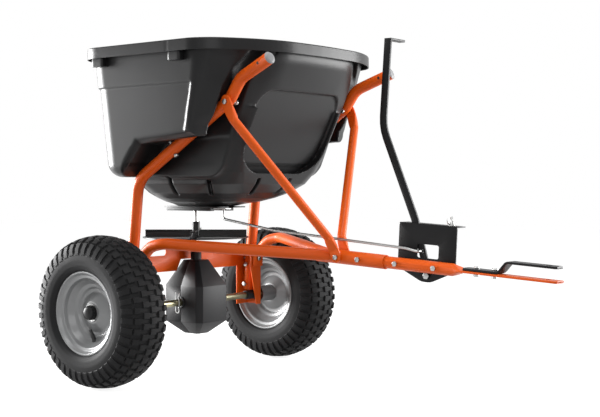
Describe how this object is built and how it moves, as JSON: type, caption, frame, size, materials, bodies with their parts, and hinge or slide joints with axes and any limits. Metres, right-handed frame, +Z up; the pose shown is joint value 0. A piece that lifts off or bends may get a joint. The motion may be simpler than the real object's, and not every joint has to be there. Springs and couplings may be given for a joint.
{
  "type": "tow-behind broadcast spreader",
  "caption": "Tow-behind broadcast spreader: moulded hopper on a bent-tube frame with pneumatic wheels, an axle-driven impeller, a lever-worked shut-off gate and a clevis hitch.",
  "frame": {"origin": "middle of the bounding box at ground level, under the machine", "axes": "+X forward along the drawbar towards the tractor, +Y to the machine's left, +Z up; the axle lies along Y"},
  "size_m": [1.0957, 0.718, 0.7431],
  "materials": {
    "orange_paint": "gloss powder coat",
    "black_paint": "satin powder coat",
    "black_plastic": "fine satin moulding",
    "gear_plastic": "satin moulding",
    "grey_plastic": "satin",
    "rim_paint": "satin grey paint",
    "tyre_rubber": "matte rubber",
    "valve_rubber": "matte rubber",
    "bright_zinc": "bright zinc plate",
    "yellow_zinc": "yellow zinc plate",
    "sintered_steel": "plain sintered steel"
  },
  "bodies": {
    "frame": {"axle_bush_left": "black_plastic", "axle_bush_right": "black_plastic", "brace_bolt_left": "bright_zinc", "brace_bolt_right": "bright_zinc", "brace_foot_bolt": "bright_zinc", "brace_left": "orange_paint", "brace_right": "orange_paint", "cross_plate": "orange_paint", "drawbar_socket": "orange_paint", "gate_plate": "black_plastic", "gearbox_case_front": "gear_plastic", "gearbox_case_rear": "gear_plastic", "hanger_left": "orange_paint", "hanger_right": "orange_paint", "hitch_strap": "black_paint", "hitch_tube_left": "orange_paint", "hitch_tube_right": "orange_paint", "hopper": "black_plastic", "hopper_bolt_left": "bright_zinc", "hopper_bolt_right": "bright_zinc", "hopper_bushing": "grey_plastic", "leg_bolt_lower_left": "bright_zinc", "leg_bolt_lower_right": "bright_zinc", "leg_bolt_upper_left": "bright_zinc", "leg_bolt_upper_right": "bright_zinc", "lever_bracket": "black_paint", "lever_pivot_bolt": "bright_zinc", "shaft_bearing": "sintered_steel", "socket_bolt": "bright_zinc", "strap_bolt_front": "bright_zinc", "strap_bolt_rear": "bright_zinc", "support_tube_left": "orange_paint", "support_tube_right": "orange_paint", "through_bolt_left": "bright_zinc", "through_bolt_right": "bright_zinc", "tongue": "orange_paint", "tongue_bolt_front": "bright_zinc", "tongue_bolt_rear": "bright_zinc", "tube_plug_left": "grey_plastic", "tube_plug_right": "grey_plastic"},
    "drive_axle": {"axle": "yellow_zinc", "ring_gear": "sintered_steel", "hairpin": "bright_zinc", "wheel_rim_right": "rim_paint", "tyre_right": "tyre_rubber", "valve_stem_right": "valve_rubber", "hub_cap_right": "black_plastic"},
    "left_wheel": {"wheel_rim_left": "rim_paint", "tyre_left": "tyre_rubber", "valve_stem_left": "valve_rubber", "hub_cap_left": "black_plastic"},
    "rotor": {"spreader_shaft": "bright_zinc", "pinion": "sintered_steel", "impeller": "black_plastic", "agitator": "bright_zinc"},
    "lever": {"lever": "black_paint"},
    "rod": {"flow_rod": "bright_zinc"},
    "gate": {"shutoff_gate": "bright_zinc"},
    "stop": {"stop_bolt": "bright_zinc", "stop_knob": "bright_zinc"}
  },
  "joints": [
    {"name": "axle_spin", "type": "hinge", "parent": "frame", "child": "drive_axle", "pos_m": [-0.38226, 0, 0.165], "axis": [0, 1, 0], "continuous": true},
    {"name": "left_wheel_spin", "type": "hinge", "parent": "frame", "child": "left_wheel", "pos_m": [-0.38226, 0.2955, 0.165], "axis": [0, 1, 0], "continuous": true},
    {"name": "spreader_spin", "type": "hinge", "parent": "frame", "child": "rotor", "pos_m": [-0.38226, 0, 0.314], "axis": [0, 0, 1], "continuous": true},
    {"name": "lever_swing", "type": "hinge", "parent": "frame", "child": "lever", "pos_m": [0.24774, 0.02, 0.2545], "axis": [0, 1, 0], "range_deg": [0, 32]},
    {"name": "rod_pivot", "type": "hinge", "parent": "lever", "child": "rod", "pos_m": [0.23392, 0.02, 0.3035], "axis": [0, 1, 0], "range_deg": [-32, 0]},
    {"name": "gate_slide", "type": "slide", "parent": "frame", "child": "gate", "axis": [1, 0, 0], "range_m": [0, 0.02809]},
    {"name": "stop_slide", "type": "slide", "parent": "frame", "child": "stop", "axis": [0.9985, 0, -0.0541], "range_m": [-0.055, 0.003]}
  ],
  "couplings": [
    {"joint": "spreader_spin", "follows": "axle_spin", "ratio": 2.6667},
    {"joint": "rod_pivot", "follows": "lever_swing", "ratio": -1},
    {"joint": "gate_slide", "follows": "lever_swing", "m_per_rad": 0.050246}
  ]
}
